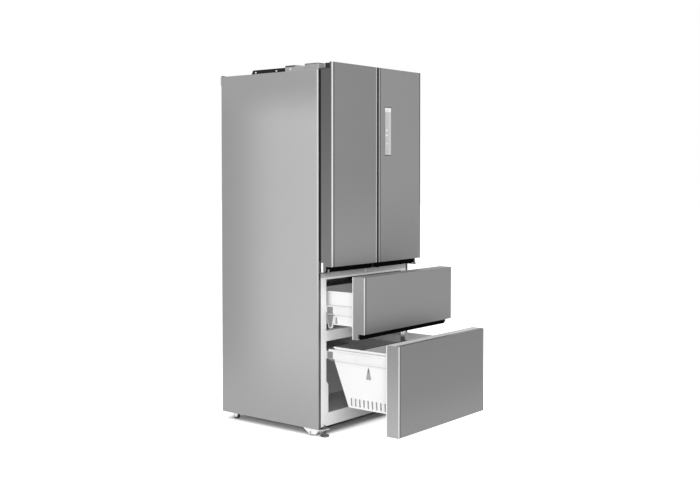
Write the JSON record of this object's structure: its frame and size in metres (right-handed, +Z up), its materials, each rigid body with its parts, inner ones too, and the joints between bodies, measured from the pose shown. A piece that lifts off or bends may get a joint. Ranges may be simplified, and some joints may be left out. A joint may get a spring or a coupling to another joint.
{
  "type": "refrigerator",
  "caption": "Free-standing fridge-freezer with paired upper doors and full-width freezer drawers below, shown with the drawers pulled out.",
  "frame": {"origin": "on the floor, at the middle of the footprint as shown, with both drawers pulled out", "axes": "+X to the right seen from the front, +Y to the back, +Z up"},
  "size_m": [0.7, 1.083, 1.726],
  "materials": {
    "side_paint": "satin",
    "zinc_steel": "satin",
    "stainless": "satin",
    "white_steel": "satin",
    "insulating_foam": "matte",
    "white_liner": "satin",
    "shelf_glass": "gloss",
    "clear_plastic": "gloss",
    "fin_aluminium": "satin",
    "black_enamel": "gloss",
    "dark_plastic": "matte",
    "grey_plastic": "satin",
    "grip_black": "matte",
    "gasket_rubber": "matte",
    "display_glass": "gloss",
    "foot_plastic": "matte",
    "roller_nylon": "matte"
  },
  "bodies": {
    "cabinet": {"side_panel_left": "side_paint", "side_panel_right": "side_paint", "top_panel": "side_paint", "back_panel": "zinc_steel", "base_tray": "zinc_steel", "insulation": "insulating_foam", "fridge_liner": "white_liner", "freezer_liner": "white_liner", "front_crossbars": "white_steel", "glass_shelves": "shelf_glass", "crispers": "clear_plastic", "air_ducts": "white_liner", "evaporator": "fin_aluminium", "compressor": "black_enamel", "condenser": "fin_aluminium", "machine_cover": "dark_plastic", "control_cover": "dark_plastic", "hinge_covers": "side_paint", "hinge_brackets": "zinc_steel", "outer_rails": "zinc_steel", "roller_brackets": "zinc_steel"},
    "left_door": {"left_door_skin": "stainless", "left_door_caps": "grey_plastic", "left_door_core": "insulating_foam", "left_door_liner": "white_liner", "left_door_gasket": "gasket_rubber", "left_door_grip": "grip_black", "left_door_balconies": "clear_plastic"},
    "flip_mullion": {"flip_mullion": "grey_plastic"},
    "right_door": {"right_door_skin": "stainless", "right_door_caps": "grey_plastic", "right_door_core": "insulating_foam", "right_door_liner": "white_liner", "right_door_gasket": "gasket_rubber", "right_door_grip": "grip_black", "right_door_balconies": "clear_plastic", "touch_display": "display_glass"},
    "upper_drawer": {"upper_drawer_skin": "stainless", "upper_drawer_core": "insulating_foam", "upper_drawer_panel": "white_liner", "upper_drawer_gasket": "gasket_rubber", "upper_drawer_grip": "grip_black", "upper_bin": "white_liner", "upper_inner_rails": "white_liner"},
    "upper_middle_rails": {"upper_middle_rails": "zinc_steel"},
    "lower_drawer": {"lower_drawer_skin": "stainless", "lower_drawer_core": "insulating_foam", "lower_drawer_panel": "white_liner", "lower_drawer_gasket": "gasket_rubber", "lower_bin": "white_liner", "lower_inner_rails": "white_liner"},
    "lower_middle_rails": {"lower_middle_rails": "zinc_steel"},
    "evaporator_fan": {"evaporator_fan": "white_liner"},
    "condenser_fan": {"condenser_fan": "dark_plastic"},
    "levelling_foot_left": {"levelling_foot_left": "foot_plastic"},
    "levelling_foot_right": {"levelling_foot_right": "foot_plastic"},
    "front_roller_left": {"front_roller_left": "roller_nylon"},
    "front_roller_right": {"front_roller_right": "roller_nylon"},
    "rear_roller_left": {"rear_roller_left": "roller_nylon"},
    "rear_roller_right": {"rear_roller_right": "roller_nylon"}
  },
  "joints": [
    {"name": "left_door_hinge", "type": "hinge", "parent": "cabinet", "child": "left_door", "pos_m": [-0.338, -0.13905, 0.762], "axis": [0, 0, -1], "range_deg": [0, 115]},
    {"name": "right_door_hinge", "type": "hinge", "parent": "cabinet", "child": "right_door", "pos_m": [0.338, -0.13905, 0.762], "axis": [0, 0, 1], "range_deg": [0, 115]},
    {"name": "mullion_fold", "type": "hinge", "parent": "left_door", "child": "flip_mullion", "pos_m": [-0.03, -0.07905, 0.814], "axis": [0, 0, -1], "range_deg": [0, 90]},
    {"name": "upper_drawer_slide", "type": "slide", "parent": "cabinet", "child": "upper_drawer", "axis": [0, -1, 0], "range_m": [-0.1862, 0.18]},
    {"name": "upper_middle_slide", "type": "slide", "parent": "cabinet", "child": "upper_middle_rails", "axis": [0, -1, 0], "range_m": [-0.0931, 0.09]},
    {"name": "lower_drawer_slide", "type": "slide", "parent": "cabinet", "child": "lower_drawer", "axis": [0, -1, 0], "range_m": [-0.3745, 0.045]},
    {"name": "lower_middle_slide", "type": "slide", "parent": "cabinet", "child": "lower_middle_rails", "axis": [0, -1, 0], "range_m": [-0.18725, 0.0225]},
    {"name": "evaporator_fan_spin", "type": "hinge", "parent": "cabinet", "child": "evaporator_fan", "pos_m": [0, 0.41795, 0.64], "axis": [0, 1, 0], "continuous": true},
    {"name": "condenser_fan_spin", "type": "hinge", "parent": "cabinet", "child": "condenser_fan", "pos_m": [-0.07, 0.43095, 0.135], "axis": [1, 0, 0], "continuous": true},
    {"name": "foot_left_screw", "type": "slide", "parent": "cabinet", "child": "levelling_foot_left", "axis": [0, 0, -1], "range_m": [0, 0.012]},
    {"name": "foot_right_screw", "type": "slide", "parent": "cabinet", "child": "levelling_foot_right", "axis": [0, 0, -1], "range_m": [0, 0.012]},
    {"name": "front_roller_left_spin", "type": "hinge", "parent": "cabinet", "child": "front_roller_left", "pos_m": [-0.315, -0.04205, 0.019], "axis": [1, 0, 0], "continuous": true},
    {"name": "front_roller_right_spin", "type": "hinge", "parent": "cabinet", "child": "front_roller_right", "pos_m": [0.315, -0.04205, 0.019], "axis": [1, 0, 0], "continuous": true},
    {"name": "rear_roller_left_spin", "type": "hinge", "parent": "cabinet", "child": "rear_roller_left", "pos_m": [-0.315, 0.47095, 0.017], "axis": [1, 0, 0], "continuous": true},
    {"name": "rear_roller_right_spin", "type": "hinge", "parent": "cabinet", "child": "rear_roller_right", "pos_m": [0.315, 0.47095, 0.017], "axis": [1, 0, 0], "continuous": true}
  ],
  "couplings": [
    {"joint": "upper_middle_slide", "follows": "upper_drawer_slide", "ratio": 0.5},
    {"joint": "lower_middle_slide", "follows": "lower_drawer_slide", "ratio": 0.5}
  ]
}
